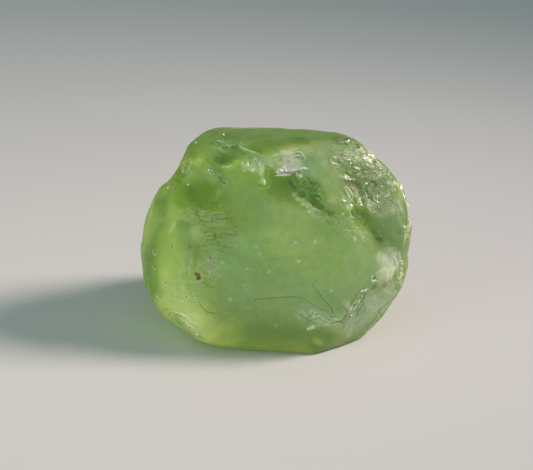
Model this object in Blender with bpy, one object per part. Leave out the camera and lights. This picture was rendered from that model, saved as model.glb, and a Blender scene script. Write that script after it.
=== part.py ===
"""A rough peridot crystal, broken and water worn, standing on its flat foot.

Blender 4.5: blender --background --python part.py
The front, which is the side at -Y, is one broad, gently domed cleavage. The top is a second, flatter one.
Between them, and all over the right shoulder, the stone has broken into small shell-shaped chips.
The sizes in this file are millimetres, and the finished object is in metres.
"""

import bmesh
import bpy
import numpy as np
from mathutils import Vector, noise

MM = 0.001
NAME = "peridot_crystal"

# Looks of the plain model
PERIDOT_GREEN = (0.23, 0.42, 0.09, 1.0)
PERIDOT_ROUGHNESS = 0.25
PERIDOT_IOR = 1.66

# Mesh: how fine the ball is that the stone is pressed from, and how many triangles it keeps
SUBDIVISIONS = 7
TRIANGLES = 9400

# Rays from this point, near the stone's middle, find its skin. None is longer than REACH, which is halved
# HALVINGS times. The skin's slope is taken over SLOPE_STEP.
MIDDLE = np.array((0.0, 0.0, 3.7))
REACH = 9.0
HALVINGS = 16
SLOPE_STEP = 0.01
TINY = 1e-6

# The faces that bound the stone: a point on each, and the way that it looks.
FACES = {
    "front_low": ((0.0, -2.95, 1.2), (0.02, -1.0, 0.04)),
    "front_high": ((0.2, -2.4, 4.4), (0.02, -0.95, 0.34)),
    "front_left": ((-3.5, -2.2, 2.8), (-0.5, -0.85, 0.14)),
    "front_right": ((3.6, -2.1, 2.8), (0.52, -0.85, 0.14)),
    "brow": ((0.3, -1.45, 6.4), (0.0, -0.88, 0.46)),
    "top": ((0.0, 0.0, 7.42), (0.01, -0.03, 1.0)),
    "top_left": ((-2.6, 0.0, 7.35), (-0.4, -0.25, 0.88)),
    "top_back": ((0.0, 1.5, 7.25), (0.0, 0.6, 0.8)),
    "left": ((-5.1, -0.6, 3.2), (-1.0, -0.06, 0.03)),
    "left_front": ((-4.7, -1.3, 2.9), (-0.86, -0.5, 0.08)),
    "left_shoulder": ((-4.75, -0.4, 4.8), (-0.93, 0.08, 0.35)),
    "left_neck": ((-4.0, -0.1, 6.1), (-0.84, 0.12, 0.52)),
    "left_brow": ((-3.15, 0.6, 7.25), (-0.7, 0.1, 0.7)),
    "left_heel": ((-4.4, -1.55, 0.9), (-0.76, -0.37, -0.54)),
    "left_foot": ((-3.22, -2.18, 0.36), (-0.52, -0.46, -0.72)),
    "right": ((5.16, -0.4, 3.4), (0.99, -0.1, 0.0)),
    "right_low": ((4.9, -0.7, 1.9), (0.94, -0.24, -0.25)),
    "right_heel": ((4.17, -1.35, 0.74), (0.8, -0.36, -0.49)),
    "right_facet": ((3.9, -1.85, 1.5), (0.55, -0.8, -0.22)),
    "right_foot": ((3.05, -2.2, 0.05), (0.43, -0.49, -0.76)),
    "right_brow": ((4.85, 0.0, 5.25), (0.91, 0.09, 0.4)),
    "right_shoulder": ((3.66, 0.5, 6.72), (0.71, 0.2, 0.67)),
    "right_bevel": ((3.5, -1.3, 5.6), (0.55, -0.6, 0.58)),
    "back": ((0.1, 3.0, 3.6), (0.06, 1.0, 0.08)),
    "back_high": ((0.0, 2.1, 6.5), (0.02, 0.78, 0.62)),
    "back_left": ((-3.7, 1.9, 3.8), (-0.72, 0.7, 0.12)),
    "back_left_high": ((-3.25, 1.65, 6.3), (-0.55, 0.55, 0.62)),
    "back_right": ((3.8, 2.0, 3.1), (0.7, 0.72, -0.03)),
    "back_right_high": ((3.3, 1.6, 6.1), (0.5, 0.62, 0.6)),
    "back_foot": ((0.3, 2.5, 0.6), (0.05, 0.62, -0.78)),
    "back_left_foot": ((-3.5, 1.0, 0.9), (-0.68, 0.3, -0.66)),
    "back_right_foot": ((3.6, 1.1, 0.9), (0.62, 0.4, -0.68)),
    "front_heel": ((-0.6, -2.85, 0.0), (-0.08, -0.52, -0.85)),
    "foot": ((0.0, 0.0, -0.12), (0.0, 0.0, -1.0)),
}
# How far two faces run into each other over a worn edge
EDGE = 0.3

# Where the stone has broken further. Each hollow runs from one point near the skin to another, and has half
# its width and its depth. A rib is the same, and stands up instead.
HOLLOWS = {
    "crown_scoop": ((-2.4, -0.95, 7.1), (-1.3, -1.0, 7.1), 0.85, 0.26),
    "crown_scoop_heart": ((-1.9, -1.1, 7.0), (-1.5, -1.1, 7.0), 0.4, 0.1),
    "neck_notch": ((-4.3, -1.0, 5.8), (-4.2, 0.6, 5.9), 0.8, 0.42),
    "neck_step": ((-3.85, -0.7, 6.4), (-3.8, 0.6, 6.4), 0.5, 0.26),
    "neck_valley": ((-3.5, -1.2, 6.2), (-2.6, -1.75, 5.8), 0.85, 0.13),
    "grey_facet": ((0.4, -1.1, 7.0), (0.75, -1.1, 6.95), 0.7, 0.16),
    "brow_hollow": ((0.2, -1.5, 6.25), (0.5, -1.55, 6.2), 0.75, 0.34),
    "brow_hollow_low": ((1.1, -1.6, 6.05), (1.3, -1.7, 5.9), 0.6, 0.28),
    "brow_groove": ((1.5, -1.7, 5.8), (2.15, -1.9, 5.4), 0.4, 0.18),
    "shoulder_hollow": ((2.5, -1.1, 6.6), (2.65, -1.5, 5.9), 0.55, 0.24),
    "shoulder_hole": ((2.87, -1.21, 6.27), (2.87, -1.21, 6.27), 0.22, 0.2),
    "shoulder_groove": ((2.95, -1.8, 5.3), (3.8, -1.65, 4.5), 0.5, 0.26),
    "shoulder_dip": ((3.9, -1.1, 5.5), (4.2, -1.1, 5.0), 0.6, 0.14),
    "cheek_facet": ((4.3, -1.5, 3.2), (4.5, -1.3, 2.9), 0.5, 0.12),
    "cheek_notch": ((5.1, -1.0, 2.85), (5.1, 0.2, 2.85), 0.5, 0.22),
    "front_chip": ((0.8, -2.9, 1.4), (1.8, -2.8, 1.4), 1.0, 0.09),
    "front_chip_low": ((2.2, -2.8, 0.9), (2.8, -2.6, 1.2), 0.7, 0.09),
    "left_whorl": ((-2.6, -2.6, 3.4), (-2.7, -2.6, 3.0), 0.9, 0.07),
    "left_ripple": ((-2.9, -2.2, 4.6), (-2.2, -2.3, 4.5), 0.8, 0.07),
    "heel_chip": ((-3.8, -2.2, 1.1), (-3.5, -2.5, 1.0), 0.5, 0.14),
    "heel_chip_low": ((-3.2, -2.6, 0.7), (-2.8, -2.7, 0.9), 0.45, 0.12),
    "back_shell": ((1.9, 2.9, 4.8), (0.9, 2.9, 3.9), 2.0, 0.42),
    "back_shell_low": ((-1.6, 2.9, 2.0), (-1.0, 2.9, 1.6), 1.6, 0.32),
    "back_left_shell": ((-3.4, 2.0, 4.7), (-3.3, 2.1, 4.3), 1.4, 0.32),
    "back_right_shell": ((4.0, 1.9, 2.2), (4.2, 1.7, 2.6), 1.3, 0.3),
    "back_crown_shell": ((-0.8, 2.1, 6.5), (-1.6, 2.0, 6.3), 1.1, 0.26),
    "back_shoulder_shell": ((3.6, 1.2, 5.9), (3.0, 1.7, 5.7), 1.0, 0.24),
}
RIBS = {
    "milky_rib": ((1.75, -1.15, 6.9), (2.0, -1.75, 5.75), 0.36, 0.1),
    "neck_ridge": ((-3.0, -1.2, 6.6), (-2.1, -1.5, 6.25), 0.2, 0.08),
    "brow_lip": ((-0.45, -1.5, 6.7), (-0.35, -1.6, 6.2), 0.2, 0.07),
    "elbow": ((5.15, -0.3, 4.5), (5.15, -0.1, 4.4), 0.25, 0.1),
}
# How sharp the rim of a hollow is, and how far below and above the body the skin can be for all of them
RIM = 0.07
DEEPEST = 1.0
TALLEST = 0.3

# Patches of small chips, close together: the box that a patch lies in, how many there are, the least and
# greatest half width, and the depth as a share of that
CHIP_SEED = 11
CHIP_PATCHES = {
    "right_shoulder": ((2.4, -1.9, 4.9), (5.2, 0.2, 7.4), 46, 0.2, 0.42, 0.3),
    "back": ((-4.8, 1.4, 0.8), (4.8, 3.2, 7.2), 30, 0.3, 0.9, 0.17),
    "left_side": ((-5.2, 0.5, 0.8), (-4.0, 2.2, 5.5), 9, 0.3, 0.6, 0.18),
    "right_side": ((4.2, 0.4, 0.6), (5.2, 2.2, 4.8), 9, 0.3, 0.6, 0.2),
    "right_foot": ((1.4, -2.9, 0.5), (3.4, -2.0, 1.3), 6, 0.2, 0.45, 0.16),
}

# Waves that bend the hollows out of true: how many, how long each is, and how far they push in all
WAVE_SEED = 5
WAVE_COUNT = 16
WAVE_LENGTH = (0.7, 2.4)
WAVE_PUSH = 0.16

# Unevenness of the skin: the size of a swell, and its height
SWELLS = ((2.6, 0.1), (0.9, 0.04))


def clear_scene():
    for obj in list(bpy.data.objects):
        bpy.data.objects.remove(obj)


def unit(v):
    v = np.asarray(v, float)
    return v / np.linalg.norm(v, axis=-1, keepdims=True)


def smooth_max(a, b, width):
    """The larger of a and b, rounded where they are within width of each other."""
    h = np.clip(0.5 + 0.5 * (a - b) / width, 0.0, 1.0)
    return b + (a - b) * h + width * h * (1.0 - h)


def body(points):
    """How far each point lies outside the bounding faces, which is negative inside the stone."""
    field = np.full(len(points), -REACH)
    for place, looks in FACES.values():
        field = smooth_max(field, (points - np.array(place)) @ unit(looks), EDGE)
    return field


def slope(field, points):
    """The outward direction of a field at each point."""
    steps = SLOPE_STEP * np.eye(3)
    rises = [field(points + step) - field(points - step) for step in steps]
    return unit(np.stack(rises, axis=1))


def skin(field, directions, low=0.0, high=REACH):
    """The point where a ray from the stone's middle leaves it, for each direction."""
    for _ in range(HALVINGS):
        half = np.full(len(directions), 0.5) * (low + high)
        inside = field(MIDDLE + directions * half[:, None]) < 0
        low = np.where(inside, half, low)
        high = np.where(inside, high, half)
    return MIDDLE + directions * half[:, None]


def beside(points, start, end):
    """How far each point is from the straight line between start and end."""
    along = end - start
    share = np.clip((points - start) @ along / (along @ along + TINY), 0.0, 1.0)
    return np.linalg.norm(points - start - share[:, None] * along, axis=1)


def seated(start, end, half_width, depth, side):
    """A round bar that is half_width wide and depth deep where it meets the body, as its two ends and radius.
    Its middle line is outside the body with side 1, where it hollows, and inside with side -1."""
    radius = (half_width**2 + depth**2) / (2 * depth)
    ends = skin(body, unit(np.array((start, end)) - MIDDLE))
    ends = ends + side * slope(body, ends) * (radius - depth)
    return ends[0], ends[1], radius


def small_chips():
    """The chips of every patch, in the same form as HOLLOWS."""
    chance = np.random.default_rng(CHIP_SEED)
    for low, high, count, least, greatest, depth_share in CHIP_PATCHES.values():
        for _ in range(count):
            start = chance.uniform(low, high)
            half_width = chance.uniform(least, greatest)
            end = start + chance.uniform(-half_width, half_width, 3)
            yield start, end, half_width, depth_share * half_width


def make_drift():
    """A smooth, uneven shift that is a little different at each point."""
    chance = np.random.default_rng(WAVE_SEED)
    lengths = chance.uniform(*WAVE_LENGTH, WAVE_COUNT)
    runs = unit(chance.normal(size=(WAVE_COUNT, 3))) * 2 * np.pi / lengths[:, None]
    starts = chance.uniform(0.0, 2 * np.pi, WAVE_COUNT)
    pushes = unit(chance.normal(size=(WAVE_COUNT, 3))) * lengths[:, None]
    pushes *= WAVE_PUSH / lengths.mean() / np.sqrt(WAVE_COUNT)
    return lambda points: np.sin(points @ runs.T + starts) @ pushes


def make_stone():
    """The whole stone as one field, like body."""
    drift = make_drift()
    hollows = [seated(*hollow, 1) for hollow in [*HOLLOWS.values(), *small_chips()]]
    ribs = [seated(*rib, -1) for rib in RIBS.values()]

    def stone(points):
        field = body(points)
        bent = points + drift(points)
        for start, end, radius in ribs:
            field = -smooth_max(-field, radius - beside(bent, start, end), RIM)
        for start, end, radius in hollows:
            field = smooth_max(field, radius - beside(bent, start, end), RIM)
        return field

    return stone


def unevenness(points):
    """Height of the skin's swells at each point."""
    return np.array(
        [
            sum(height * noise.noise(Vector(p / size)) for size, height in SWELLS)
            for p in points
        ]
    )


def make_peridot():
    material = bpy.data.materials.new("peridot")
    material.use_nodes = True
    shader = material.node_tree.nodes["Principled BSDF"]
    shader.inputs["Base Color"].default_value = PERIDOT_GREEN
    shader.inputs["Roughness"].default_value = PERIDOT_ROUGHNESS
    shader.inputs["Metallic"].default_value = 0.0
    shader.inputs["IOR"].default_value = PERIDOT_IOR
    return material


def build_stone():
    mesh = bpy.data.meshes.new(NAME)
    ball = bmesh.new()
    bmesh.ops.create_icosphere(ball, subdivisions=SUBDIVISIONS, radius=1.0)
    stone = make_stone()
    directions = unit(np.array([v.co for v in ball.verts]))
    reach = np.linalg.norm(skin(body, directions) - MIDDLE, axis=1)
    points = skin(stone, directions, reach - DEEPEST, reach + TALLEST)
    points = points + slope(stone, points) * unevenness(points)[:, None]
    points[:, 2] = np.maximum(points[:, 2], 0.0)
    low, high = points.min(axis=0), points.max(axis=0)
    shift = np.array(((low[0] + high[0]) / 2, (low[1] + high[1]) / 2, low[2]))
    for vert, point in zip(ball.verts, points - shift):
        vert.co = Vector(point) * MM
    ball.to_mesh(mesh)
    ball.free()
    mesh.shade_smooth()
    mesh.materials.append(make_peridot())
    stone_object = bpy.data.objects.new(NAME, mesh)
    fewer = stone_object.modifiers.new("fewer_triangles", "DECIMATE")
    fewer.ratio = TRIANGLES / len(mesh.polygons)
    return stone_object


def main():
    clear_scene()
    collection = bpy.data.collections.new(NAME)
    bpy.context.scene.collection.children.link(collection)
    collection.objects.link(build_stone())


main()
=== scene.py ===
"""A rough peridot crystal: frosted where water wore it, glassy where it broke fresh.

The stone is one piece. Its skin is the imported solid's, made finer, then chipped,
cut and wrinkled in code. Work on the skin is done in millimetres.
"""

import itertools
import math

import bmesh
import bpy
import numpy as np
from mathutils import Matrix, Vector
from mathutils.bvhtree import BVHTree
from mathutils.kdtree import KDTree


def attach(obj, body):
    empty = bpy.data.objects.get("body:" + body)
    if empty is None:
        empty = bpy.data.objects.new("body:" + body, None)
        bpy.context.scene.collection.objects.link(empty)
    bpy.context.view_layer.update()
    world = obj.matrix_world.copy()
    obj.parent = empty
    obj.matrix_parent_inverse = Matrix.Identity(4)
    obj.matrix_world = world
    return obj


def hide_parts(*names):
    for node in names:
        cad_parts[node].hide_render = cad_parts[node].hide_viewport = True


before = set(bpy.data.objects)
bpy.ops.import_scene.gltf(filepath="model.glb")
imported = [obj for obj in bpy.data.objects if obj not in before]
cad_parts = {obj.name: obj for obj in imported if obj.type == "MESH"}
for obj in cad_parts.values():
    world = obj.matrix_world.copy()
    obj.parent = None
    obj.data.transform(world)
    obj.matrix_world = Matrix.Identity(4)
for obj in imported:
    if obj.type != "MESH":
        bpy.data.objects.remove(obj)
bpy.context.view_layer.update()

MM = 0.001

# The view: the photograph's frame, and the camera that took it, in millimetres and degrees.
PICTURE = (533, 470)
SENSOR = 36.0
LENS = 93.28
EYE = (-0.353, -47.171, 27.0)
LOOKING_DOWN = 26.53
ROLL = 2.34

# The light: a soft lamp on the right, a glowing green card low on the left, and a pale room.
LAMP_DISTANCE = 120.0
LAMP_HEIGHT_ANGLE = 40.0
LAMP_TURN = 12.0
LAMP_SIZE = 34.0
LAMP_AIM = (-24.4, -7.9, 0.0)
LAMP_SPREAD = 48.7
LAMP_WATTS = 0.0116
LAMP_COLOUR = (1.0, 0.83, 0.80)
CARD_PLACE = (-56.0, -46.0, 6.0)
CARD_SIZE = 50.0
CARD_WATTS = 0.026
CARD_COLOUR = (0.90, 1.0, 0.80)
ROOM_LIGHT = 0.28
ROOM_COLOUR = (0.75, 0.99, 1.0, 1)
FLOOR_COLOUR = (0.757, 0.735, 0.724, 1)

# The skin in millimetres: its grain, how near a line it is made finer, the width under which
# flashing ground is made finest, how high an edge stands or how deep a cut goes, how far it
# tapers, the heights over the foot between which the relief sets in, and the relief at which the
# painted highlight on crests and the painted shade in valleys start to show and show in full.
# The noise repeats after its span of lumps.
GRAIN = 0.11
LINE_REACH = 0.09
NARROW = 0.09
LINE_RELIEF = 0.026
TAPER = 0.7
FOOT_MARGIN = (0.02, 0.15)
SEEN_RELIEF = (0.003, 0.012)
NOISE_SPAN = 32

# Places on the front are (across, down) in the photograph's frame, found on the skin along
# the camera's rays. Each stroke is a width in millimetres, a strength, and the line it follows.
# First the ground that is calmed for finer work, and the plain ground that needs none.
CALM = (
    (0.85, 1.0, ((335, 150), (360, 170), (384, 198), (392, 240))),
    (0.70, 1.0, ((326, 190), (352, 220), (380, 252))),
    (0.65, 1.0, ((262, 180), (285, 195), (306, 206), (335, 214))),
    (0.60, 0.9, ((218, 146), (240, 152), (262, 160))),
    (0.45, 0.9, ((388, 250), (396, 275))),
    (0.45, 0.8, ((160, 205), (178, 212), (192, 222))),
)
PLAIN = (
    (1.00, 1.0, ((262, 212), (300, 228), (340, 246), (352, 262))),
    (0.90, 1.0, ((245, 232), (262, 262), (300, 275), (340, 285))),
    (0.70, 1.0, ((232, 296), (262, 312), (285, 322))),
)
# Ground that broke fresh, and patches of colour.
FRESH = (
    (0.26, 1.0, ((338, 140), (354, 143), (372, 156), (394, 180), (409, 205), (412, 235))),
    (0.42, 0.5, ((326, 152), (345, 160), (368, 170), (384, 182))),
    (0.34, 0.7, ((350, 180), (362, 190), (366, 200))),
    (0.36, 0.8, ((273, 161), (300, 160), (318, 155))),
    (0.26, 0.6, ((272, 180), (300, 187), (313, 196))),
    (0.14, 0.5, ((300, 188), (318, 203), (336, 216))),
    (0.18, 0.6, ((358, 210), (370, 228), (381, 240))),
    (0.26, 0.3, ((214, 146), (240, 152), (258, 157))),
    (0.28, 0.9, ((188, 158), (180, 172), (170, 186))),
    (0.16, 0.7, ((202, 165), (226, 183))),
    (0.36, 0.8, ((394, 254), (394, 278))),
    (0.20, 0.9, ((407, 266), (400, 292), (380, 318), (350, 342))),
    (0.20, 0.9, ((345, 318), (369, 290))),
    (0.26, 0.6, ((302, 313), (340, 325))),
    (0.26, 0.9, ((163, 308), (180, 321), (202, 337))),
    (0.35, 0.4, ((200, 210), (228, 214), (222, 238))),
)
CLEAR = (
    (0.50, 0.5, ((225, 136), (290, 134), (345, 137))),
    (0.40, 0.8, ((255, 148), (275, 143), (300, 140))),
    (0.26, 0.6, ((262, 150), (300, 140))),
    (0.14, 1.0, ((222, 161), (228, 158))),
    (0.20, 0.5, ((220, 159), (234, 156))),
    (0.07, 0.8, ((224, 148), (226, 148))),
    (0.08, 0.8, ((233, 147), (237, 147.5))),
    (0.08, 0.8, ((243, 153.5), (248, 153))),
    (0.40, 0.6, ((273, 184), (282, 188), (286, 192))),
    (0.16, 0.7, ((284, 178), (300, 180), (310, 180))),
    (0.18, 0.6, ((296, 190), (306, 196), (316, 202))),
    (0.10, 0.95, ((314, 202), (322, 208), (331, 214.5))),
    (0.24, 0.5, ((308, 180), (318, 190))),
    (0.50, 0.55, ((202, 187), (206, 195))),
    (0.14, 0.8, ((359, 213), (366, 221), (372, 229))),
    (0.12, 1.0, ((371, 228), (376, 234), (380, 240))),
    (0.30, 0.6, ((360, 214), (372, 226), (384, 240))),
    (0.18, 1.0, ((351, 182.5), (358, 187))),
    (0.16, 0.6, ((353, 190), (358, 196))),
    (0.12, 0.8, ((378, 162), (380, 165))),
    (0.26, 0.5, ((240, 345), (290, 347), (330, 346))),
    (0.45, 0.6, ((160, 205), (150, 245), (152, 285))),
    (0.22, 0.5, ((183, 225), (186, 245))),
    (0.45, 0.4, ((250, 334), (290, 336), (325, 338))),
    (0.12, 0.9, ((372, 182.5), (375, 186))),
    (0.25, 0.4, ((367, 204), (378, 208))),
    (0.10, 0.6, ((308, 180), (313, 186))),
    (0.10, 0.7, ((376, 162), (382, 167))),
    (0.14, 0.6, ((360, 190), (372, 198), (382, 205))),
    (0.12, 0.7, ((404, 205), (407, 222))),
)
# Milky whitish ground, mostly frosting. On the grey facet at the brow the white is a painted sheen of
# the lamp's light.
MILK_AND_SHEEN = (
    (0.14, 0.5, ((244, 167), (256, 168))),
    (0.09, 0.7, ((260, 162), (262, 168), (261, 174))),
    (0.04, 0.6, ((262, 174), (264, 184))),
    (0.05, 0.8, ((244, 166), (244, 171))),
    (0.07, 0.8, ((250, 167), (253, 169))),
    # These four strokes lie on the grey facet at the brow: painted sheen.
    (0.30, 1.0, ((287, 158), (293, 162), (289, 168))),
    (0.16, 1.0, ((292, 157), (299, 157), (303, 160))),
    (0.24, 0.8, ((294, 164), (303, 166))),
    (0.12, 1.0, ((279, 171.5), (287, 169.5), (296, 169))),
    (0.30, 0.45, ((272, 160), (280, 158), (286, 154))),
    (0.36, 0.45, ((306, 152), (312, 158), (314, 166))),
    (0.30, 0.35, ((322, 160), (330, 178), (335, 196))),
    (0.24, 0.3, ((318, 150), (345, 148))),
    (0.28, 1.1, ((390, 256), (396, 263), (391, 272))),
    (0.36, 0.7, ((384, 256), (390, 266), (384, 274))),
    (0.45, 0.65, ((356, 322), (386, 296))),
    (0.45, 0.20, ((178, 296), (184, 308), (194, 320))),
    (0.06, 0.4, ((169, 232), (175, 223))),
    (0.30, 0.1, ((195, 228), (200, 238))),
    (0.34, 0.35, ((306, 313), (340, 325))),
    (0.12, 0.4, ((310, 312), (316, 315))),
    (0.14, 0.25, ((199, 162), (214, 182))),
    (0.08, 0.5, ((293, 194), (298, 199))),
    (0.06, 0.5, ((303, 201), (306, 203))),
    (0.12, 0.7, ((344, 199), (350, 206))),
    (0.06, 0.6, ((308, 329), (314, 327))),
    (0.10, 0.6, ((345, 303), (353, 310))),
    (0.07, 0.5, ((396, 182), (404, 196), (409, 212), (408, 236))),
    (0.045, 0.3, ((217.5, 140.5), (224, 142.5), (231, 146))),
    (0.045, 0.25, ((239, 145.5), (245, 149), (250, 151.5))),
    (0.06, 0.25, ((212, 147), (219, 149), (226, 151))),
    (0.09, 0.25, ((246, 156), (251, 153.5), (257, 157))),
)
# Pinkish tints. The first two strokes, on the grey facet at the brow, paint the warm lamp's reflection;
# the others are pink tints of the stone.
BLUSH_AND_SHEEN = (
    (0.26, 1.1, ((288, 157), (292, 162), (291, 167))),
    (0.12, 1.0, ((280, 172), (287, 170))),
    (0.12, 0.4, ((206, 216), (222, 216))),
    (0.20, 0.2, ((194, 230), (200, 238))),
    (0.12, 0.4, ((212, 223), (222, 224))),
    (0.20, 0.3, ((210, 262), (215, 270))),
    (0.12, 0.4, ((312, 312), (316, 315))),
    (0.10, 0.5, ((386, 284), (392, 282))),
)
BLUE = (
    (0.42, 1.2, ((216, 145), (236, 149), (256, 157))),
    (0.55, 0.5, ((230, 180), (256, 192))),
    (0.80, 0.6, ((240, 250), (246, 290))),
    (0.80, 0.7, ((290, 280), (330, 300))),
    (0.70, 0.6, ((345, 245), (365, 275))),
    (1.40, 0.5, ((262, 240), (310, 255), (340, 270))),
    (0.30, 0.6, ((296, 160), (322, 160))),
    (0.50, 0.8, ((356, 322), (386, 296))),
    (0.40, 0.5, ((384, 196), (394, 214), (396, 236))),
)
# Yellow-green patches. In the lower left, on the left lobe and along the foot they are a painted glow
# that stands in for the lamp's light shining through the stone; elsewhere a yellow-green tint.
LIME_AND_GLOW = (
    (0.60, 0.3, ((172, 220), (164, 240), (162, 265))),
    (0.80, 0.75, ((168, 278), (175, 298), (192, 316))),
    (0.60, 1.0, ((168, 308), (188, 322), (206, 332))),
    (0.70, 0.5, ((206, 328), (226, 338))),
    (0.30, 1.1, ((164, 306), (180, 318), (198, 330))),
    (0.90, 0.35, ((285, 235), (325, 265))),
    (0.18, 0.5, ((332, 197), (337, 199))),
    (0.45, 0.9, ((164, 184), (156, 205), (148, 235))),
    (0.12, 1.0, ((316, 341), (320, 343))),
    (0.30, 0.7, ((200, 342), (240, 347), (300, 350))),
    (0.40, 0.4, ((185, 290), (195, 312))),
    (0.06, 0.5, ((223, 166.5), (228, 167))),
    (0.06, 0.7, ((234, 161.8), (239, 161))),
    (0.12, 0.5, ((228, 168), (240, 164), (254, 161))),
    (0.40, 0.5, ((180, 163), (200, 176))),
    (0.35, 0.5, ((255, 148), (290, 144))),
)
LEAF = (
    (0.90, 0.8, ((200, 138), (184, 168), (162, 200), (148, 240), (146, 282))),
    (0.65, 1.2, ((182, 184), (202, 194), (208, 204))),
    (0.80, 1.0, ((172, 205), (168, 230), (165, 255))),
    (0.50, 0.7, ((250, 148), (285, 146), (300, 143))),
    (0.50, 1.0, ((268, 182), (286, 190), (312, 194))),
    (0.70, 0.6, ((215, 140), (228, 160), (244, 172))),
    (0.60, 0.6, ((195, 210), (215, 225), (232, 216))),
    (0.60, 0.5, ((230, 342), (275, 346), (320, 344))),
    (0.40, 0.7, ((357, 210), (370, 226), (382, 241))),
    (0.90, 0.4, ((180, 250), (190, 290), (215, 325))),
    (0.12, 1.2, ((377.5, 161.5), (380, 164))),
    (0.12, 1.0, ((372.5, 182.5), (375, 186))),
    (0.25, 0.6, ((367, 204), (378, 208))),
)
# Rougher ground painted darker. On the shoulder, the right side and the top, which face the lamp, the
# darker green is painted shade that evens out the lamp's light.
DULL_AND_SHADED = (
    (0.60, 1.15, ((345, 158), (366, 176), (382, 200), (392, 240))),
    (0.30, 1.3, ((386, 184), (394, 204), (392, 226))),
    (0.35, 0.8, ((300, 155), (325, 152), (345, 150), (364, 158))),
)
# Ground covered with fine wandering etched lines, and ground scattered with small pale nicks.
ETCHED = (
    (0.60, 1.0, ((200, 214), (226, 216), (222, 236))),
    (0.35, 0.7, ((205, 248), (214, 266), (212, 284))),
    (0.45, 0.6, ((178, 290), (205, 306), (214, 316))),
    (0.30, 0.6, ((150, 245), (148, 290), (160, 312))),
    (0.25, 0.6, ((196, 137), (225, 133))),
    (0.60, 0.8, ((345, 155), (368, 172), (384, 200), (388, 235))),
    (0.45, 0.7, ((352, 322), (376, 304), (392, 284))),
    (0.30, 0.7, ((178, 165), (172, 185))),
)
SCUFFED = (
    (0.75, 0.5, ((322, 152), (350, 164), (376, 190), (388, 230))),
    (0.40, 1.0, ((300, 315), (322, 320), (345, 322))),
    (0.30, 0.9, ((345, 316), (360, 300), (374, 286))),
    (0.60, 0.7, ((356, 325), (384, 302), (400, 280))),
    (0.26, 1.0, ((290, 196), (306, 205), (322, 216), (350, 230))),
    (0.30, 1.0, ((246, 166), (260, 162), (264, 185))),
    (0.40, 0.6, ((220, 146), (258, 158))),
    (1.20, 0.35, ((220, 260), (300, 255), (350, 275))),
    (0.80, 0.5, ((240, 300), (300, 320), (345, 335))),
    (0.50, 0.6, ((165, 300), (185, 318), (205, 332))),
    (0.30, 0.6, ((205, 137), (290, 134), (345, 137))),
    (0.18, 0.8, ((359, 212), (370, 226), (380, 238))),
    (0.18, 0.8, ((296, 190), (312, 200), (330, 214))),
)
# Grey and rusty spots.
GREY = (
    (0.20, 0.7, ((211, 262), (215, 270))),
    (0.10, 0.7, ((214, 217), (221, 217))),
    (0.12, 0.5, ((308, 312), (316, 313))),
)
RUST = (
    (0.07, 1.3, ((196, 274), (198.5, 275))),
    (0.066, 1.3, ((197.5, 278.5), (199.5, 278))),
    (0.03, 0.45, ((331, 308), (333, 313))),
    (0.05, 0.6, ((337, 321.5), (341, 322))),
    (0.10, 0.6, ((385, 285), (391, 283))),
    (0.12, 0.68, ((351.5, 183), (355, 184.8), (358.8, 186.6))),
    (0.05, 0.5, ((301, 315), (303, 317))),
    (0.12, 0.3, ((188, 162), (192, 168))),
)
# Cuts, dark in the picture: a width, a strength, and the line.
CUTS = (
    (0.02, 1.0, ((254, 299.5), (274.5, 297.7), (293, 297.2), (303.8, 299.4), (310, 302.5),
                 (315, 307), (322.5, 310), (329, 311.8))),
    (0.018, 0.6, ((297, 300), (307, 303), (318, 306))),
    (0.018, 0.9, ((311.9, 283.8), (317.5, 291), (322.5, 297.5), (328, 303.8), (331.9, 308.8),
                  (332.5, 313))),
    (0.018, 0.9, ((199, 302), (203, 308), (208, 312), (216, 313.5))),
    (0.02, 0.9, ((219.3, 176.7), (224.7, 183.3))),
    (0.018, 0.6, ((203, 282.3), (208.6, 286.8))),
    (0.016, 0.5, ((200.5, 267.7), (204, 271.4))),
    (0.018, 0.7, ((304.9, 317.4), (311.4, 321.8), (315.7, 326))),
    (0.02, 0.6, ((198.6, 210.5), (199.5, 218.6), (204, 221.8), (209, 223), (213, 220.5),
                 (212, 215.5), (219.5, 214))),
    (0.02, 0.5, ((196, 214), (202, 210), (209, 212.5), (216, 210))),
    (0.022, 0.8, ((216, 218.6), (223, 219.5), (229, 218))),
    (0.02, 0.7, ((204, 233), (208.6, 231.8), (213, 232), (216, 235), (214, 237.7))),
    (0.022, 0.8, ((217, 234.2), (228, 234.4), (238.6, 235.5))),
    (0.022, 0.8, ((207, 240), (215, 239), (223, 235.5))),
    (0.03, 1.0, ((209.6, 257.6), (210.1, 258.2))),
    (0.016, 0.6, ((216, 249), (222, 250), (226, 254))),
    (0.016, 0.5, ((218, 258), (225, 260), (231, 263))),
    (0.02, 0.9, ((349, 177), (358, 172.5), (369, 170.3), (380, 171.4), (388, 177))),
    (0.02, 0.8, ((348.6, 147.5), (356.8, 153.8), (364.5, 158))),
    (0.024, 0.9, ((308, 178), (312, 183), (318, 184))),
    (0.022, 0.8, ((311, 188), (315, 191), (319, 197))),
    (0.02, 0.8, ((284, 172.6), (292, 172), (299, 171))),
    (0.018, 0.7, ((295, 153.6), (299, 153.2), (302.5, 155))),
    (0.018, 0.7, ((295, 158), (299, 157), (303, 158.4))),
    (0.024, 0.8, ((404, 188), (408, 200), (410, 212))),
    (0.022, 0.7, ((398, 206), (403, 222), (404, 238))),
    (0.024, 0.7, ((195, 137), (205, 131), (218, 132))),
    (0.02, 0.7, ((225, 133), (232, 134), (240, 132))),
    (0.02, 0.7, ((194, 335), (197, 338))),
    (0.02, 0.8, ((346, 189), (351, 198))),
    (0.018, 0.7, ((371, 195), (372, 203))),
    (0.02, 0.8, ((362.5, 292), (370, 290.8))),
    (0.02, 0.7, ((364, 303), (359.5, 310), (356.5, 317))),
    (0.02, 0.8, ((379, 311), (381, 316))),
    (0.14, 0.9, ((351.5, 183), (358.8, 186.6))),
    (0.06, 0.5, ((189, 163), (192, 168))),
    (0.06, 0.6, ((372, 183), (375, 186))),
    (0.06, 0.6, ((378, 162), (380.5, 164.5))),
)
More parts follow.
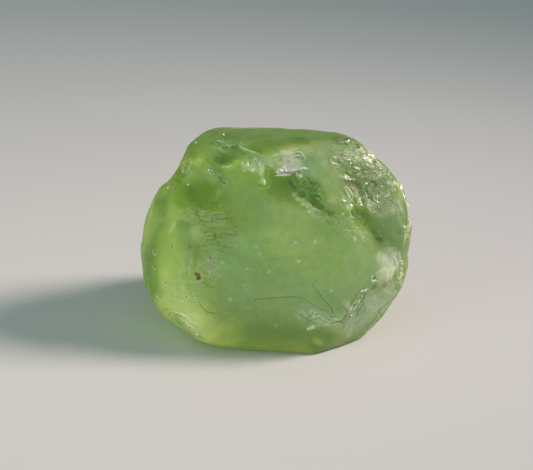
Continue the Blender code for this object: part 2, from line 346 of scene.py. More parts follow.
# Thin raised edges, painted pale: partly pale lines of the stone, partly painted highlights and
# glints, as on the ridge at the upper right, at the grey facet's foot and in the lower left.
# A width, a strength, and the line.
EDGES = (
    (0.036, 1.0, ((173, 312), (185, 315.5), (193, 324))),
    (0.036, 0.9, ((178, 318), (186, 322), (194, 331))),
    (0.031, 0.8, ((196, 330), (204, 334))),
    (0.036, 1.0, ((369, 289.5), (361, 291.2))),
    (0.036, 1.1, ((363, 295.5), (358, 303))),
    (0.036, 1.1, ((356, 306), (351.5, 314.5))),
    (0.024, 0.7, ((359, 295.5), (354.5, 304))),
    (0.024, 0.7, ((352.5, 306), (348, 314))),
    (0.024, 0.6, ((349.5, 299), (345.5, 309))),
    (0.022, 0.5, ((345, 312), (343, 318))),
    (0.022, 0.4, ((334.5, 317), (338, 323))),
    (0.022, 0.4, ((326, 325), (331, 321), (337, 318.5))),
    (0.022, 0.4, ((309, 313.5), (315, 312.5))),
    (0.022, 0.4, ((312, 317), (320, 316))),
    (0.02, 0.4, ((347, 324), (345, 330))),
    (0.02, 0.4, ((352, 324), (350.5, 330))),
    (0.022, 0.6, ((222.5, 166), (225, 167.3), (229, 166.8), (231.5, 165))),
    (0.024, 0.35, ((239.3, 145.3), (246.7, 150), (256, 152.7), (260, 155.5))),
    (0.026, 0.4, ((218, 140.7), (224, 142.5))),
    (0.026, 0.45, ((195, 254), (190, 263.6), (190.3, 271.5))),
    (0.029, 0.5, ((173.5, 245.5), (174.5, 251))),
    (0.024, 0.5, ((202, 211.3), (208, 211.6))),
    (0.02, 0.3, ((201, 213), (202, 217.5), (206, 219.8), (210, 219))),
    (0.02, 0.35, ((205, 210), (214, 212.5), (221, 211.8))),
    (0.02, 0.3, ((205, 235), (211, 234.3), (214, 237.5), (208, 238.3))),
    (0.024, 1.1, ((275, 175.4), (281, 175), (288, 174.9), (291, 175.1))),
    (0.05, 1.2, ((278.5, 172.2), (283, 170.6), (287, 169.6))),
    (0.03, 0.9, ((280, 170), (284.5, 166.5))),
    (0.024, 1.0, ((287, 169.2), (292, 169.6), (298, 169.8))),
    (0.03, 1.3, ((300, 168.8), (304, 167.8), (307.3, 168.4))),
    (0.024, 0.45, ((279.5, 151.8), (283, 151), (286.5, 152.5))),
    (0.022, 0.45, ((280, 153.3), (282.5, 155))),
    (0.026, 0.55, ((273.3, 155.6), (278, 154.4))),
    (0.02, 0.65, ((296, 151), (301, 152.5), (304, 156), (306, 159.5))),
    (0.02, 0.50, ((294.5, 155.8), (299, 155), (303, 156.3))),
    (0.026, 0.45, ((294, 149.5), (296.5, 148))),
    (0.02, 0.7, ((297, 161), (300, 163), (298.5, 164.5))),
    (0.041, 1.0, ((345, 176.5), (347.5, 179), (354, 180))),
    (0.05, 1.2, ((365, 155), (371, 161))),
    (0.04, 1.0, ((367.5, 154.5), (372.5, 160))),
    (0.05, 1.2, ((370.5, 152.7), (375, 157.5))),
    (0.036, 0.9, ((354, 166.4), (359, 169))),
    (0.03, 0.8, ((345.5, 160), (350, 159.2))),
    (0.029, 0.7, ((349.5, 144.5), (358, 149), (366, 153.5))),
    (0.031, 0.8, ((405.8, 272), (406.8, 281.6), (401, 291))),
    (0.029, 0.7, ((394, 299), (380, 314), (364, 336))),
    (0.024, 0.5, ((322, 318.5), (331, 322))),
    (0.022, 0.4, ((318, 321), (330, 325), (341, 324))),
    (0.028, 0.5, ((185.5, 161), (183.5, 167), (182, 173))),
    (0.026, 0.8, ((366.5, 195), (368.5, 202))),
    (0.026, 0.8, ((373.4, 193), (374.4, 201))),
    (0.026, 0.6, ((377, 195), (377.6, 203))),
    (0.026, 0.7, ((344.5, 188), (350, 197))),
    (0.026, 0.7, ((347, 186), (352.5, 195))),
    (0.024, 0.6, ((371, 277), (374, 275.5), (376.5, 278), (374.5, 281), (371, 280))),
    (0.036, 0.9, ((264, 181), (264.6, 183.5))),
    (0.03, 0.8, ((393, 256), (398, 264))),
    (0.03, 0.7, ((399, 254), (401, 261))),
    (0.022, 0.8, ((397, 183), (403, 193), (406, 203))),
    (0.022, 0.8, ((409, 213), (411, 222), (409, 232))),
    (0.02, 0.7, ((405, 234), (404, 243))),
)
# Ground combed with fine lines side by side: a width, a strength, and the line they follow.
COMBED = (
    (0.40, 0.9, ((338, 146), (356, 152), (374, 166), (392, 184))),
    (0.32, 0.9, ((336, 160), (350, 167), (368, 173), (386, 188))),
    (0.28, 1.0, ((371, 190), (373, 198), (372, 206))),
    (0.22, 1.0, ((343, 184), (348, 192), (353, 200))),
    (0.30, 1.0, ((371, 288), (358, 303), (349, 318))),
    (0.30, 0.8, ((402, 270), (400, 288), (388, 306), (368, 332))),
    (0.24, 0.8, ((214, 141), (236, 145), (260, 156))),
    (0.12, 0.8, ((202, 163), (212, 171), (226, 184))),
    (0.26, 0.7, ((298, 314), (318, 318), (345, 324))),
    (0.16, 0.5, ((274, 174), (290, 170), (307, 168))),
    (0.16, 0.6, ((280, 154), (292, 153), (304, 156))),
    (0.22, 0.5, ((198, 212), (208, 218), (226, 216))),
    (0.20, 0.5, ((202, 234), (214, 234), (240, 235))),
    (0.16, 0.4, ((214, 250), (224, 254), (232, 262))),
    (0.26, 0.9, ((306, 178), (314, 188), (320, 200))),
    (0.18, 0.8, ((166, 311), (182, 318), (202, 334))),
    (0.16, 0.6, ((193, 254), (189.5, 264), (191, 274), (204, 284))),
    (0.16, 0.7, ((404, 190), (410, 214), (408, 244))),
    (0.22, 0.7, ((392, 252), (397, 262), (394, 276))),
    (0.16, 0.6, ((196, 140), (206, 133), (226, 133))),
    (0.30, 0.5, ((296, 196), (314, 207), (334, 222))),
)
# Broken ground that flashes in the lamp: a width, a number of small faces, their sizes,
# how far they stray from the flash, and the line.
FLASHES = (
    (0.20, 3, 0.03, 0.05, 0.10, ((285, 158), (302, 160), (295, 167))),
    (0.07, 18, 0.05, 0.09, 0.04, ((366.5, 155), (372, 160.5))),
    (0.06, 16, 0.06, 0.10, 0.04, ((370, 152), (375, 157.5))),
    (0.10, 10, 0.03, 0.06, 0.12, ((361, 151), (370, 157), (378, 165))),
    (0.10, 14, 0.03, 0.05, 0.10, ((340, 141), (354, 141))),
    (0.08, 6, 0.05, 0.08, 0.06, ((344, 176), (352, 180))),
    (0.08, 7, 0.04, 0.08, 0.06, ((298, 176), (302, 177))),
    (0.08, 8, 0.03, 0.06, 0.08, ((278, 172), (288, 168))),
    (0.08, 44, 0.04, 0.06, 0.12, ((400, 184), (407, 202), (410, 220), (407, 240), (402, 264),
                                  (402, 290))),
    (0.10, 14, 0.03, 0.06, 0.08, ((166, 313), (178, 318), (192, 326), (203, 335))),
    (0.14, 8, 0.03, 0.05, 0.15, ((386, 172), (400, 184))),
    (0.30, 12, 0.02, 0.04, 0.15, ((352, 165), (372, 185), (366, 200))),
    (0.06, 5, 0.03, 0.05, 0.10, ((208, 170), (214, 175))),
    (0.08, 6, 0.03, 0.05, 0.15, ((183, 160), (182, 172))),
    (0.10, 8, 0.03, 0.05, 0.15, ((246, 166), (258, 162), (262, 172))),
    (0.06, 12, 0.03, 0.05, 0.10, ((370, 289), (360, 301), (350, 316))),
)
# Single small faces that flash, each with its radius, and how much wider they are cut.
GLINTS = (
    (366, 157.5, 0.06), (370.5, 154, 0.06), (374, 157.5, 0.05), (372, 160.5, 0.05), (196, 143, 0.045),
    (204, 134, 0.04), (368, 156.5, 0.07), (370.5, 159, 0.07), (373, 155.5, 0.07), (305.5, 168, 0.05),
    (303, 168, 0.045), (286.5, 169.7, 0.045), (279.3, 172, 0.05), (284.5, 166, 0.04),
    (300.5, 176.6, 0.07), (211, 173.3, 0.05), (213.7, 175.3, 0.04), (224, 134.7, 0.04),
    (343, 141, 0.04), (349.5, 140.2, 0.045), (353.5, 142.5, 0.04), (346, 177.5, 0.08), (349, 179, 0.05),
    (356.5, 168, 0.05), (383, 170, 0.04), (389, 172, 0.04), (398.6, 184.5, 0.04), (375.6, 313.8, 0.04),
    (167.6, 188, 0.06), (188.3, 184.2, 0.05), (351.8, 205, 0.055), (361.6, 204.5, 0.05),
    (380.8, 235.4, 0.04), (404.2, 226.2, 0.06), (405.5, 231.5, 0.04), (395, 189, 0.04),
    (373, 276, 0.045), (376, 280, 0.04), (319, 188.8, 0.04), (347, 187, 0.04), (378, 201, 0.04),
    (366, 194, 0.04), (345, 200, 0.05), (172, 314, 0.05), (197, 334, 0.05),
)
GLINT_SPREAD = 1.1
# Small pale specks, some of them painted glints, and small round pits in the worn face, each
# with its radius.
SPECKS = (
    (331, 291.4, 0.055), (247.6, 269, 0.055), (260, 254.2, 0.043), (243.7, 285.4, 0.048),
    (245.7, 290, 0.043), (315, 241.5, 0.043), (270, 271, 0.036), (236, 246, 0.036), (222, 263, 0.036),
    (262, 181, 0.06), (257, 246, 0.036), (300, 262, 0.031), (352, 216, 0.048), (343, 214, 0.043),
    (229, 300, 0.036), (276, 325, 0.036), (290, 309, 0.031), (210, 272, 0.048), (334, 226, 0.036),
    (355, 238, 0.036), (312, 327, 0.05), (308, 329, 0.04), (296, 243, 0.031), (238, 322, 0.031),
    (366, 232, 0.043), (384, 258, 0.06), (203, 196, 0.036), (213, 320, 0.036), (248, 165, 0.06),
    (253, 170, 0.06), (299, 176, 0.06), (301, 177, 0.06), (297, 175.4, 0.035), (306.7, 174.4, 0.03),
    (298, 173.5, 0.025), (294, 196, 0.035), (298, 199, 0.028), (303, 203, 0.03), (308, 207, 0.028),
    (311, 212, 0.025), (353, 222, 0.028), (357, 227, 0.025), (363, 238, 0.03), (349, 218, 0.028),
    (326, 205, 0.025), (343, 142, 0.03), (347, 141, 0.035), (351, 139.8, 0.03), (354, 142.5, 0.025),
    (350, 144, 0.025), (272, 166, 0.04), (285, 166, 0.035), (400, 196, 0.025), (407, 207, 0.03),
    (404, 218, 0.025), (408, 229, 0.03), (406, 238, 0.025), (403, 245, 0.025), (397, 184, 0.025),
    (392, 177, 0.025),
)
PITS = (
    (154.7, 252, 0.06), (154.7, 267, 0.045), (147, 277, 0.05), (149, 288, 0.055), (157, 295, 0.055),
    (209.6, 257.7, 0.04), (146, 262, 0.04), (160, 297, 0.05), (172, 247, 0.04), (150, 240, 0.04),
    (165, 283, 0.04), (186, 297, 0.04), (374, 278, 0.09), (197, 337, 0.06), (262, 308, 0.03),
)
# A pit's depth, its rim's height and the rim's place and width, in parts of its radius. Then
# how strongly its rim's wall that faces the lamp is painted pale, a painted highlight, and its
# hollow dark, a painted shade, and how strongly a speck is painted pale.
PIT_DEPTH = 0.5
PIT_RIM_HEIGHT = 0.25
PIT_RIM = (1.5, 0.5)
PIT_HIGHLIGHT_AND_SHADE = (0.5, 0.45)
SPECK_MARK = 0.6
# Ground that is broken small: a width, a strength, and the line.
CRUMBLED = (
    (0.20, 0.5, ((338, 142), (352, 145), (370, 157), (390, 175))),
    (0.30, 0.3, ((345, 160), (358, 172), (364, 196))),
    (0.22, 0.7, ((300, 182), (314, 190), (318, 198))),
    (0.20, 1.2, ((398, 176), (406, 194), (411, 215), (409, 242))),
    (0.16, 0.6, ((141, 240), (139, 270), (146, 300), (160, 318))),
    (0.14, 0.4, ((343, 201), (352, 207))),
    (0.16, 0.4, ((395, 256), (398, 276))),
    (0.14, 0.6, ((405, 268), (398, 292))),
    (0.14, 0.4, ((346, 316), (368, 291))),
    (0.14, 0.3, ((165, 311), (182, 321), (202, 337))),
    (0.16, 0.7, ((185, 160), (176, 175))),
)
# Patches on the sides that the picture doesn't show: a mask, and how large, rare and strong.
FAR_PATCHES = (
    ("fresh", 2.2, 0.00, 0.9),
    ("clear", 1.8, 0.05, 0.5),
    ("milk_and_sheen", 1.1, 0.25, 0.35),
    ("blue", 2.4, -0.10, 0.6),
    ("lime_and_glow", 2.6, 0.20, 0.4),
    ("leaf", 2.0, -0.10, 0.7),
    ("etched", 1.5, 0.00, 0.9),
    ("scuffed", 1.2, 0.00, 0.8),
    ("dull_and_shaded", 1.7, 0.25, 0.6),
)
PAINTED = {
    "fresh": FRESH, "clear": CLEAR, "milk_and_sheen": MILK_AND_SHEEN, "blue": BLUE, "lime_and_glow": LIME_AND_GLOW, "leaf": LEAF,
    "dull_and_shaded": DULL_AND_SHADED, "blush_and_sheen": BLUSH_AND_SHEEN, "etched": ETCHED, "scuffed": SCUFFED, "grey": GREY, "rust": RUST,
}
# Flakes off the ground that is broken small, and a few off the other fresh ground: how many,
# their sizes, how far they tilt, the fresh ground's weight in the draw, and the draw's seed.
FLAKES = (
    (200, (0.09, 0.16), 0.12, 0.02, 21),
    (900, (0.04, 0.09), 0.18, 0.05, 22),
)
# Wrinkles: the ground they are on, their depth, the way they run, how far apart and how long
# they are, and their seed.
WRINKLES = (
    ("crumbled", 0.012, (0.5, 0.2, -0.85), 0.12, 0.7, 41),
    ("fresh", 0.006, (0.8, 0.5, -0.2), 0.11, 0.4, 43),
    ("etched", 0.008, (0.95, 0.1, 0.1), 0.16, 0.7, 45),
    ("all", 0.004, (0.9, 0.1, 0.3), 0.30, 0.9, 47),
)
# Swells of the whole skin, and crumbs of the ground that is broken small: height, size, seed.
SWELLS = ((0.010, 0.7, 31), (0.006, 0.3, 32), (0.003, 0.13, 33))
CRUMBS = (0.035, 0.22, 34)

# The finish's patterns: how many lumps go to a metre, and how many finer rounds ride on them.
CLOUDS = (700.0, 4.0)
MOTTLE = (3500.0, 5.0)
DUST = (14000.0, 3.0)
WANDERING = (2600.0, 3.0)
NICKS = (4200.0, 3.0)
CHIPS = (9500.0, 2.0)
# The stone's two greens, and the colours laid over them in turn: the mark that each follows,
# how well it covers, and its red, green and blue.
GREENS = ((0.52, 0.73, 0.18, 1), (0.66, 0.81, 0.34, 1))
LAYERS = (
    ("blue", 0.7, (0.54, 0.84, 0.58)),
    ("leaf", 0.95, (0.56, 0.84, 0.04)),
    # yellow-green tint, and a painted glow of light shining through the stone
    ("lime_and_glow", 0.85, (0.92, 0.99, 0.26)),
    ("clear", 0.85, (0.28, 0.54, 0.03)),
    # milky white frosting, and on the grey facet a painted sheen
    ("milk_and_sheen", 0.75, (0.93, 0.93, 0.84)),
    # darker green on rough ground; on the front a painted shade that evens out the lamp's light
    ("dull_and_shaded", 0.75, (0.29, 0.45, 0.18)),
    ("grey", 0.6, (0.30, 0.32, 0.26)),
    ("mottle", 1.0, (0.30, 0.55, 0.14)),
    ("dust", 1.0, (0.70, 0.88, 0.50)),
    ("nicks", 0.6, (0.90, 0.97, 0.82)),
    ("chips", 0.45, (0.84, 0.96, 0.76)),
    ("banks", 0.25, (0.86, 0.92, 0.60)),
    ("etched", 0.25, (0.42, 0.50, 0.18)),
    ("lines", 0.65, (0.21, 0.29, 0.05)),
    # pinkish tint; on the grey facet a painted reflection of the warm lamp
    ("blush_and_sheen", 0.8, (0.96, 0.81, 0.70)),
    ("grooves", 0.6, (0.18, 0.38, 0.08)),
    ("teeth", 0.5, (0.72, 0.92, 0.62)),
    # paler on crests of the relief: painted highlight
    ("crest_highlight", 0.7, (0.84, 0.95, 0.74)),
    # pale edges, pit rims and specks: partly pale marks, partly painted highlights and glints
    ("edge", 0.9, (0.98, 0.98, 0.90)),
    # pale yellow on raised edges in the glowing ground: painted highlights
    ("lime edge", 0.6, (0.98, 0.98, 0.45)),
    # pale paint on the faces that flash: a painted glint, also where they don't catch the lamp
    ("shine", 0.5, (0.94, 0.96, 0.80)),
    # darker in valleys of the relief: painted shade
    ("valley_shade", 0.45, (0.22, 0.42, 0.07)),
    ("cut", 0.7, (0.09, 0.20, 0.05)),
    ("rust", 0.95, (0.14, 0.065, 0.004)),
)
# How the stone bends light, and the green that its inside gives the light.
REFRACTION = 1.66
DEPTH_COLOUR = (0.62, 0.84, 0.06, 1)
DEPTH_DENSITY = 180.0


def camera_matrix():
    """Where the camera stands and looks, in metres."""
    tilt = Matrix.Rotation(math.radians(90 - LOOKING_DOWN), 4, "X")
    roll = Matrix.Rotation(math.radians(ROLL), 4, "Z")
    return Matrix.Translation(Vector(EYE) * MM) @ tilt @ roll


def make_camera():
    """A camera at the photograph's place, with its angle of view."""
    data = bpy.data.cameras.new("Camera")
    data.lens = LENS
    data.sensor_width = SENSOR
    data.clip_start = 0.001
    data.clip_end = 10
    camera = bpy.data.objects.new("Camera", data)
    camera.matrix_world = camera_matrix()
    bpy.context.scene.collection.objects.link(camera)
    bpy.context.scene.camera = camera


def lamp_way():
    """The way from the stone to the lamp."""
    up, turn = math.radians(LAMP_HEIGHT_ANGLE), math.radians(LAMP_TURN)
    return Vector((math.cos(up) * math.cos(turn), math.cos(up) * math.sin(turn), math.sin(up)))


class Tone:
    """A value or colour in a finish, on which sums are done with plain operators."""

    def __init__(self, finish, socket):
        self.finish = finish
        self.socket = socket

    def sum(self, operation, first, second):
        return self.finish.node("ShaderNodeMath", {"operation": operation}, {0: first, 1: second})

    def __add__(self, other):
        return self.sum("ADD", self, other)

    __radd__ = __add__

    def __sub__(self, other):
        return self.sum("SUBTRACT", self, other)

    def __rsub__(self, other):
        return self.sum("SUBTRACT", other, self)

    def __mul__(self, other):
        return self.sum("MULTIPLY", self, other)

    __rmul__ = __mul__

    def __abs__(self):
        return self.finish.node("ShaderNodeMath", {"operation": "ABSOLUTE"}, {0: self})


class Finish:
    """A material being made."""

    def __init__(self, name):
        self.material = bpy.data.materials.new(name)
        self.material.use_nodes = True
        self.tree = self.material.node_tree
        self.tree.nodes.clear()

    def node(self, kind, settings=None, inputs=None, output=0):
        """Adds a node: its settings first, then the values or links of its sockets."""
        made = self.tree.nodes.new(kind)
        for name, value in (settings or {}).items():
            setattr(made, name, value)
        for name, value in (inputs or {}).items():
            if isinstance(value, Tone):
                self.tree.links.new(value.socket, made.inputs[name])
            else:
                made.inputs[name].default_value = value
        return Tone(self, made.outputs[output]) if made.outputs else made

    def mask(self, name):
        """What the skin keeps under that name at each point."""
        return self.node("ShaderNodeAttribute", {"attribute_name": name}, {}, "Fac")

    def noise(self, place, scale, detail):
        """Even noise, 0 to 1."""
        inputs = {"Vector": place, "Scale": scale, "Detail": detail}
        return self.node("ShaderNodeTexNoise", {}, inputs, "Fac")

    def between(self, value, low, high):
        """0 where the value is at low, 1 where it is at high."""
        return self.node("ShaderNodeMapRange", {}, {"Value": value, 1: low, 2: high}, "Result")

    def level(self, value, middle, near, far):
        """1 where the value is near the middle one, 0 where it is farther off than far."""
        return 1.0 - self.between(abs(value - middle), near, far)

    def drawn_out(self, place, turn, stretch):
        """The place turned and then stretched, for a pattern that runs one way."""
        inputs = {"Vector": place, "Rotation": turn, "Scale": stretch}
        return self.node("ShaderNodeMapping", {}, inputs, "Vector")

    def blend(self, share, first, second):
        """The first colour, turned into the second by the share."""
        colours = {"Factor": share, 6: first, 7: second}
        return self.node("ShaderNodeMix", {"data_type": "RGBA"}, colours, 2)

    def mixed(self, share, first, second):
        """The first shader, turned into the second by the share, which is kept from 0 to 1."""
        inputs = {"Fac": self.between(share, 0.0, 1.0), 1: first, 2: second}
        return self.node("ShaderNodeMixShader", {}, inputs, "Shader")


def make_peridot():
    """See-through green: glassy on fresh breaks, hazed and frosted on worn faces."""
    finish = Finish("Peridot")
    place = finish.node("ShaderNodeTexCoord", {}, {}, "Object")
    mottle = finish.noise(place, *MOTTLE)
    dust = finish.noise(place, *DUST)
    wander = finish.noise(finish.drawn_out(place, (0, 0, 0), (1.0, 1.0, 3.0)), *WANDERING)
    slanted = finish.drawn_out(place, (0, 0.7, 0.2), (1.0, 1.5, 3.5))
    names = ("fresh", "clear", "milk_and_sheen", "lime_and_glow", "leaf", "blush_and_sheen", "rust", "edge", "cut", "shine")
    fresh, clear, milk_and_sheen, lime_and_glow, leaf, blush_and_sheen, rust, edge, cut, shine = map(finish.mask, names)
    etched, scuffed, combed = map(finish.mask, ("etched", "scuffed", "combed"))
    row = {"X": finish.mask("across") * 7.0, "Y": finish.mask("along") * 1.5}
    comb = finish.noise(finish.node("ShaderNodeCombineXYZ", {}, row), 1.0, 2.0)
    marks = {
        "mottle": finish.between(mottle, 0.45, 0.65) * (0.3 - lime_and_glow * 0.2),
        "dust": finish.between(dust, 0.50, 0.70) * (0.25 - leaf * 0.20),
        "nicks": finish.between(finish.noise(slanted, *NICKS), 0.60, 0.68) * scuffed,
        "chips": finish.between(finish.noise(slanted, *CHIPS), 0.60, 0.66) * scuffed,
        "banks": finish.level(wander, 0.56, 0.004, 0.020) * etched,
        "lines": finish.level(wander, 0.50, 0.004, 0.022) * etched,
        "grooves": finish.level(comb, 0.47, 0.010, 0.040) * combed,
        "teeth": finish.level(comb, 0.55, 0.006, 0.024) * combed,
        "lime edge": edge * lime_and_glow,
    }
    colour = finish.blend(finish.noise(place, *CLOUDS), *GREENS)
    for name, strength, tint in LAYERS:
        mark = marks[name] if name in marks else finish.mask(name)
        colour = finish.blend(mark * strength, colour, (*tint, 1))
    height = dust * (1.0 - fresh * 0.8) + mottle * 0.6 + marks["nicks"] * 0.5 - marks["lines"] * 0.8
    height = (height + comb * combed * 3.0) * (1.0 - shine)
    bumps = {"Strength": 0.9, "Distance": 0.00002, "Height": height}
    skin = {
        "Base Color": colour,
        "IOR": REFRACTION,
        "Normal": finish.node("ShaderNodeBump", {}, bumps, "Normal"),
    }
    milky = finish.node("ShaderNodeBsdfPrincipled", {"subsurface_method": "RANDOM_WALK"}, {
        **skin,
        "Roughness": 0.48 - fresh * 0.10 + finish.mask("dull_and_shaded") * 0.10 - shine * 0.25,
        "Specular IOR Level": 0.3,
        "Transmission Weight": 0.35,
        "Subsurface Weight": 1.0,
        "Subsurface Radius": (1.0, 1.6, 0.4),
        "Subsurface Scale": 0.001,
    }, "BSDF")
    glassy = finish.node("ShaderNodeBsdfPrincipled", {}, {
        **skin,
        "Roughness": 0.40 - fresh * 0.12 - shine * 0.22,
        "Transmission Weight": 1.0,
    }, "BSDF")
    chalky = finish.node("ShaderNodeBsdfPrincipled", {}, {
        **skin,
        "Roughness": 0.5 - shine * 0.25,
        "Specular IOR Level": 0.25,
    }, "BSDF")
    haze = 0.48 + milk_and_sheen * 0.4 + edge * 0.4 + lime_and_glow * 0.5 - clear * 0.40 - fresh * 0.15
    stone = finish.mixed(haze, glassy, milky)
    chalk = 0.10 + edge * 0.8 + rust * 0.8 + cut * 0.6 + milk_and_sheen * 0.65 + blush_and_sheen * 0.3 + shine * 0.3
    crumbs = marks["teeth"] * 0.4 + (marks["nicks"] + marks["chips"]) * 0.2 - clear * 0.1
    inside = {"Color": DEPTH_COLOUR, "Density": DEPTH_DENSITY}
    finish.node("ShaderNodeOutputMaterial", {}, {
        "Surface": finish.mixed(chalk + crumbs, stone, chalky),
        "Volume": finish.node("ShaderNodeVolumeAbsorption", {}, inside, "Volume"),
    })
    return finish.material


def make_matt():
    """A plain pale matt finish."""
    finish = Finish("Pale matt")
    inputs = {"Base Color": FLOOR_COLOUR, "Roughness": 0.9}
    shader = finish.node("ShaderNodeBsdfPrincipled", {}, inputs, "BSDF")
    finish.node("ShaderNodeOutputMaterial", {}, {"Surface": shader})
    return finish.material


def finer(solid):
    """The solid's skin on a fine even mesh, in millimetres."""
    mesh = solid.data.copy()
    mesh.transform(Matrix.Scale(1 / MM, 4))
    rough = bpy.data.objects.new("rough", mesh)
    bpy.context.scene.collection.objects.link(rough)
    weld = rough.modifiers.new("Weld", "WELD")
    weld.merge_threshold = 0.0001
    remesh = rough.modifiers.new("Even grain", "REMESH")
    remesh.mode = "VOXEL"
    remesh.voxel_size = GRAIN
    fine = bpy.data.meshes.new_from_object(rough.evaluated_get(bpy.context.evaluated_depsgraph_get()))
    bpy.data.objects.remove(rough)
    return fine


def even_noise(points, size, seed):
    """Smooth noise from -1 to 1, in lumps of about that size."""
    table = np.random.default_rng(seed).uniform(-1, 1, (NOISE_SPAN, NOISE_SPAN, NOISE_SPAN))
    place = points / size + NOISE_SPAN
    low = np.floor(place).astype(int)
    share = place - low
    share = share * share * (3 - 2 * share)
    total = np.zeros(len(points))
    for corner in itertools.product((0, 1), repeat=3):
        weight = np.prod(np.where(corner, share, 1 - share), axis=1)
        cell = (low + corner) % NOISE_SPAN
        total += weight * table[cell[:, 0], cell[:, 1], cell[:, 2]]
    return total


def soft_step(value, low, high):
    """0 below low, 1 above high, and smooth between."""
    share = np.clip((value - low) / (high - low), 0, 1)
    return share * share * (3 - 2 * share)


def smooth_line(spots, step):
    """Closely spaced places along a smooth curve through the spots."""
    spots = [np.array(spot, float) for spot in spots]
    ends = [2 * spots[0] - spots[1], *spots, 2 * spots[-1] - spots[-2]]
    line = []
    for before, here, there, after in zip(ends, ends[1:], ends[2:], ends[3:]):
        for share in np.arange(0, 1, step / np.linalg.norm(there - here)):
            line.append(0.5 * (2 * here + (there - before) * share
                        + (2 * before - 5 * here + 4 * there - after) * share ** 2
                        + (3 * here - before - 3 * there + after) * share ** 3))
    return line + [spots[-1]]


class Sight:
    """The stone's skin as the camera sees it, in millimetres."""

    def __init__(self, mesh):
        points = [vertex.co.copy() for vertex in mesh.vertices]
        faces = [tuple(face.vertices) for face in mesh.polygons]
        self.tree = BVHTree.FromPolygons(points, faces)
        self.eye = Vector(EYE)
        self.turn = camera_matrix().to_3x3()

    def spot(self, place):
        """The point of the skin seen at a place in the picture, or None."""
        pixel = SENSOR / PICTURE[0]
        across = (place[0] - PICTURE[0] / 2) * pixel
        up = (PICTURE[1] / 2 - place[1]) * pixel
        ray = (self.turn @ Vector((across, up, -LENS))).normalized()
        return self.tree.ray_cast(self.eye, ray)[0]

    def line(self, spots, step=2.5):
        """The points of the skin under a line drawn in the picture."""
        found = [self.spot(place) for place in smooth_line(spots, step)]
        return np.array([point for point in found if point is not None])


def rows_of(parts, name, width, kind):
    """What each part of a mesh says under a name, a row to a part."""
    rows = np.empty(len(parts) * width, kind)
    parts.foreach_get(name, rows)
    return rows.reshape(-1, width)


class Skin:
    """The stone's skin while it is worked: its points, how they face, and its masks."""

    def __init__(self, mesh):
        self.mesh = mesh
        self.count = len(mesh.vertices)
        self.points = rows_of(mesh.vertices, "co", 3, float)
        self.facing = rows_of(mesh.vertex_normals, "vector", 3, float)
        self.edges = rows_of(mesh.edges, "vertices", 2, int)
        self.lift = np.zeros(self.count)
        self.unworn = 0.35 + 0.65 * soft_step(even_noise(self.points, 0.22, 71), -0.6, 0.2)
        self.patchy = 0.85 + 0.3 * np.clip(even_noise(self.points, 0.24, 51), -1, 0.5)
        warp = [even_noise(self.points, 0.45, seed) for seed in (1, 2, 3)]
        self.bent = self.points + 0.14 * np.stack(warp, axis=1)
        self.tree = KDTree(self.count)
        for index, place in enumerate(self.bent):
            self.tree.insert(place, index)
        self.tree.balance()

    def spread(self, values, rounds):
        """The values, each evened out with its neighbours'."""
        first, second = self.edges.T
        ways = np.bincount(self.edges.ravel(), minlength=self.count)
        for _ in range(rounds):
            if values.ndim == 1:
                total = np.bincount(first, values[second], self.count)
                total += np.bincount(second, values[first], self.count)
                values = 0.5 * values + 0.5 * total / ways
            else:
                values = np.stack([self.spread(column, 1) for column in values.T], axis=1)
        return values

    def nearness(self, line, width, points=None, taper=0.0):
        """1 on a line of points, falling away to 0 over about the width, which may taper."""
        points = self.bent if points is None else points
        near = np.zeros(self.count)
        if not len(line):
            return near
        low, high = line.min(axis=0) - 2.5 * width, line.max(axis=0) + 2.5 * width
        inside = np.flatnonzero(np.all((points > low) & (points < high), axis=1))
        if not len(inside):
            return near
        best = np.full(len(inside), np.inf)
        ends = np.abs(np.linspace(-1, 1, len(line) + 1))[1:-1] ** 3
        for start, end, thin in zip(line[:-1], line[1:], 1 - taper * ends):
            along = end - start
            offset = points[inside] - start
            share = np.clip(offset @ along / max(along @ along, 1e-12), 0, 1)
            best = np.minimum(best, np.linalg.norm(offset - share[:, None] * along, axis=1) / thin)
        near[inside] = np.exp(-(best / width) ** 2)
        return near

    def beside(self, line, here):
        """How far the marked points lie to the side of a line of points, and how far along it."""
        inside = np.flatnonzero(here)
        side, run = np.zeros(self.count), np.zeros(self.count)
        best = np.full(len(inside), np.inf)
        done = 0.0
        for start, end in zip(line[:-1], line[1:]):
            length = np.linalg.norm(end - start)
            along = (end - start) / length
            offset = self.points[inside] - start
            share = np.clip(offset @ along, 0, length)
            offset = offset - share[:, None] * along
            distance = np.linalg.norm(offset, axis=1)
            sign = np.sign(np.sum(np.cross(self.facing[inside], along) * offset, axis=1))
            closer = distance < best
            side[inside[closer]] = (sign * distance)[closer]
            run[inside[closer]] = done + share[closer]
            best = np.minimum(best, distance)
            done += length
        return side, run

    def scratched(self, line, width):
        """A thin line, tapered and here and there interrupted."""
        return self.nearness(line, width, self.points, TAPER) * self.unworn

    def painted(self, sight, strokes):
        """The mask that a set of strokes on the front makes."""
        mask = np.zeros(self.count)
        for width, strength, spots in strokes:
            line = sight.line(spots)
            points = self.points if width < 0.16 else self.bent
            low, high = (0.2, 0.75) if width < 0.3 else (0.06, 0.9)
            near = soft_step(self.nearness(line, width * 1.2, points), low, high)
            mask = np.maximum(mask, strength * near)
        return mask * self.patchy

    def nearest(self, place):
        """The number of the skin's point nearest to a place."""
        return int(np.argmin(np.sum((self.points - np.array(place)) ** 2, axis=1)))

    def keep(self, name, mask):
        """Stores a mask on the mesh, where the finish reads it."""
        layer = self.mesh.attributes.new(name, "FLOAT", "POINT")
        layer.data.foreach_set("value", mask.astype(np.float32))


